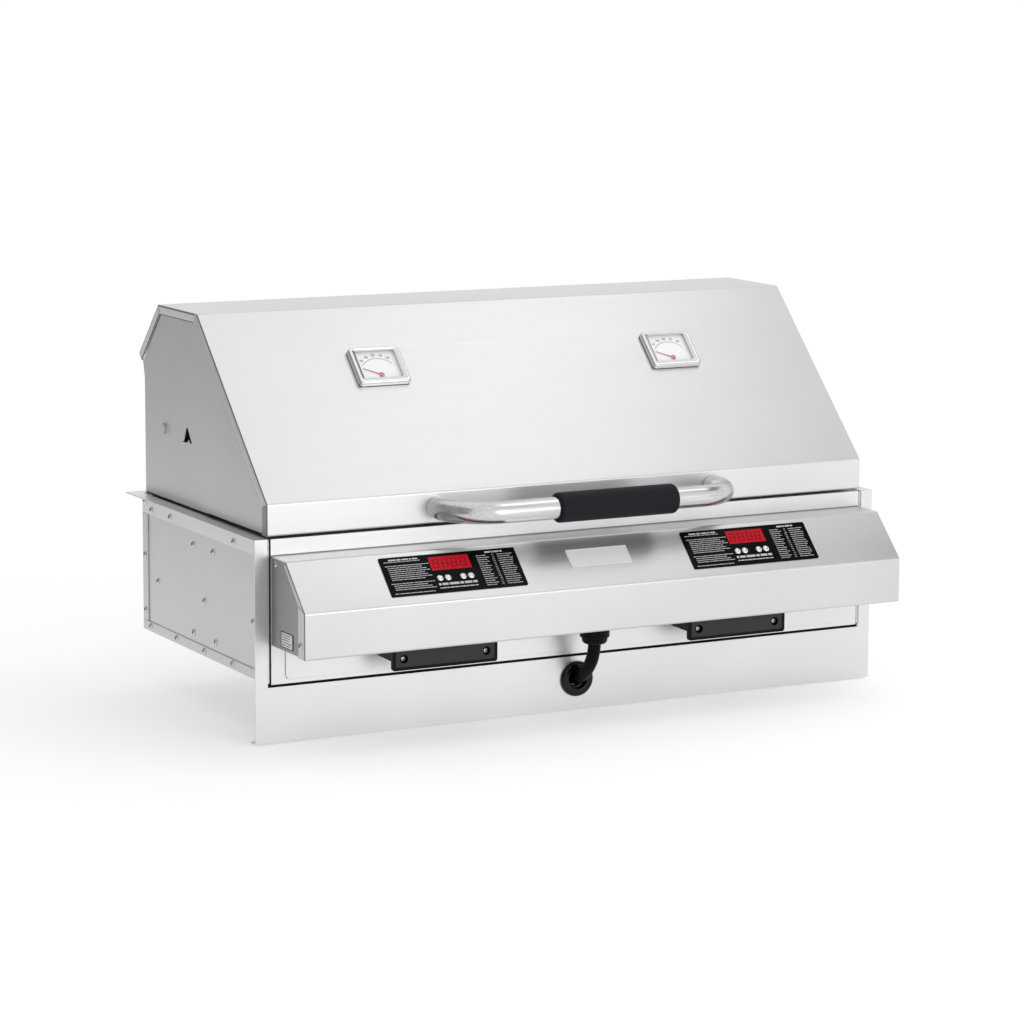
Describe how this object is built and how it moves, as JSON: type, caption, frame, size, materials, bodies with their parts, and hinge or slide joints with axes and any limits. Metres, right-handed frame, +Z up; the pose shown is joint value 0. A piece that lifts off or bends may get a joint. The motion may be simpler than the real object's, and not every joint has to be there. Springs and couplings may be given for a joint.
{
  "type": "built-in barbecue grill",
  "caption": "Drop-in electric grill with a hinged faceted lid, tube handle, sloped control box with push buttons, and sliding grease trays.",
  "frame": {"origin": "middle of the front of the counter cut-out, on the plane of the counter's top where the flanges rest, in the front plane of the face frame", "axes": "+X to the right seen from the front, +Y to the back, +Z up"},
  "size_m": [0.813, 0.4651, 0.4597],
  "materials": {
    "brushed_stainless": "brushed",
    "steel_fasteners": "machined",
    "grate_steel": "satin",
    "element_sheath": "dull oxide",
    "ceramic": "matte",
    "panel_black": "gloss",
    "circuit_board": "matte",
    "relay_plastic": "matte",
    "button_silver": "metallised",
    "gland_nylon": "matte",
    "grommet_rubber": "glossy",
    "polished_tube": "polished",
    "grip_rubber": "matte",
    "gauge_chrome": "polished",
    "dial_white": "satin",
    "gauge_glass": "clear",
    "pointer_red": "satin",
    "handle_plastic": "matte",
    "cord_jacket": "satin",
    "plug_plastic": "satin"
  },
  "bodies": {
    "grill_body": {"apron_grommet": "grommet_rubber", "blank_plates": "brushed_stainless", "body_screws": "steel_fasteners", "bottom_pan": "brushed_stainless", "cable_gland": "gland_nylon", "control_box_bottom": "brushed_stainless", "control_box_end_left": "brushed_stainless", "control_box_end_right": "brushed_stainless", "control_box_shell": "brushed_stainless", "control_panel_left": "panel_black", "control_panel_right": "panel_black", "cooking_grate_left": "grate_steel", "cooking_grate_right": "grate_steel", "cord_coil": "cord_jacket", "cord_straps": "brushed_stainless", "counter_flanges": "brushed_stainless", "display_boards": "circuit_board", "element_bushings": "ceramic", "face_frame": "brushed_stainless", "firebox_brackets": "brushed_stainless", "firebox_liner": "brushed_stainless", "front_panel": "brushed_stainless", "heating_element_left": "element_sheath", "heating_element_right": "element_sheath", "hinge_pins": "steel_fasteners", "power_cord": "cord_jacket", "power_plug": "plug_plastic", "rear_panel": "brushed_stainless", "rear_shield": "brushed_stainless", "relays_and_terminals": "relay_plastic", "side_panel_left": "brushed_stainless", "side_panel_right": "brushed_stainless", "temperature_probes": "steel_fasteners", "tray_rails": "brushed_stainless"},
    "lid": {"lid_shell": "brushed_stainless", "lid_side_right": "brushed_stainless", "lid_side_left": "brushed_stainless", "lid_liner": "brushed_stainless", "handle_tube": "polished_tube", "handle_grip": "grip_rubber", "handle_bolts": "steel_fasteners", "gauge_bezels": "gauge_chrome", "gauge_movements": "dial_white", "gauge_glasses": "gauge_glass"},
    "pointer_left": {"gauge_pointer_left": "pointer_red"},
    "pointer_right": {"gauge_pointer_right": "pointer_red"},
    "tray_left": {"grease_tray_left": "brushed_stainless", "tray_handle_left": "handle_plastic", "tray_handle_screws_left": "steel_fasteners"},
    "tray_right": {"grease_tray_right": "brushed_stainless", "tray_handle_right": "handle_plastic", "tray_handle_screws_right": "steel_fasteners"},
    "button_left_1": {"button_left_1": "button_silver"},
    "button_left_2": {"button_left_2": "button_silver"},
    "button_left_3": {"button_left_3": "button_silver"},
    "button_left_4": {"button_left_4": "button_silver"},
    "button_right_1": {"button_right_1": "button_silver"},
    "button_right_2": {"button_right_2": "button_silver"},
    "button_right_3": {"button_right_3": "button_silver"},
    "button_right_4": {"button_right_4": "button_silver"}
  },
  "joints": [
    {"name": "lid_hinge", "type": "hinge", "parent": "grill_body", "child": "lid", "pos_m": [0, 0.298, 0.0865], "axis": [-1, 0, 0], "range_deg": [0, 95]},
    {"name": "gauge_left_needle", "type": "hinge", "parent": "lid", "child": "pointer_left", "pos_m": [-0.1923, 0.11997, 0.15942], "axis": [0, 0.7066, -0.7077], "range_deg": [0, 128], "stiffness_Nm_per_rad": 0.001},
    {"name": "gauge_right_needle", "type": "hinge", "parent": "lid", "child": "pointer_right", "pos_m": [0.1967, 0.11997, 0.15942], "axis": [0, 0.7066, -0.7077], "range_deg": [0, 128], "stiffness_Nm_per_rad": 0.001},
    {"name": "tray_left_slide", "type": "slide", "parent": "grill_body", "child": "tray_left", "axis": [0, -1, 0], "range_m": [0, 0.3]},
    {"name": "tray_right_slide", "type": "slide", "parent": "grill_body", "child": "tray_right", "axis": [0, -1, 0], "range_m": [0, 0.3]},
    {"name": "button_left_1_press", "type": "slide", "parent": "grill_body", "child": "button_left_1", "axis": [0, 0.7057, -0.7085], "range_m": [0, 0.0008], "stiffness_N_per_m": 800, "springref_m": -0.001},
    {"name": "button_left_2_press", "type": "slide", "parent": "grill_body", "child": "button_left_2", "axis": [0, 0.7057, -0.7085], "range_m": [0, 0.0008], "stiffness_N_per_m": 800, "springref_m": -0.001},
    {"name": "button_left_3_press", "type": "slide", "parent": "grill_body", "child": "button_left_3", "axis": [0, 0.7057, -0.7085], "range_m": [0, 0.0008], "stiffness_N_per_m": 800, "springref_m": -0.001},
    {"name": "button_left_4_press", "type": "slide", "parent": "grill_body", "child": "button_left_4", "axis": [0, 0.7057, -0.7085], "range_m": [0, 0.0008], "stiffness_N_per_m": 800, "springref_m": -0.001},
    {"name": "button_right_1_press", "type": "slide", "parent": "grill_body", "child": "button_right_1", "axis": [0, 0.7057, -0.7085], "range_m": [0, 0.0008], "stiffness_N_per_m": 800, "springref_m": -0.001},
    {"name": "button_right_2_press", "type": "slide", "parent": "grill_body", "child": "button_right_2", "axis": [0, 0.7057, -0.7085], "range_m": [0, 0.0008], "stiffness_N_per_m": 800, "springref_m": -0.001},
    {"name": "button_right_3_press", "type": "slide", "parent": "grill_body", "child": "button_right_3", "axis": [0, 0.7057, -0.7085], "range_m": [0, 0.0008], "stiffness_N_per_m": 800, "springref_m": -0.001},
    {"name": "button_right_4_press", "type": "slide", "parent": "grill_body", "child": "button_right_4", "axis": [0, 0.7057, -0.7085], "range_m": [0, 0.0008], "stiffness_N_per_m": 800, "springref_m": -0.001}
  ]
}
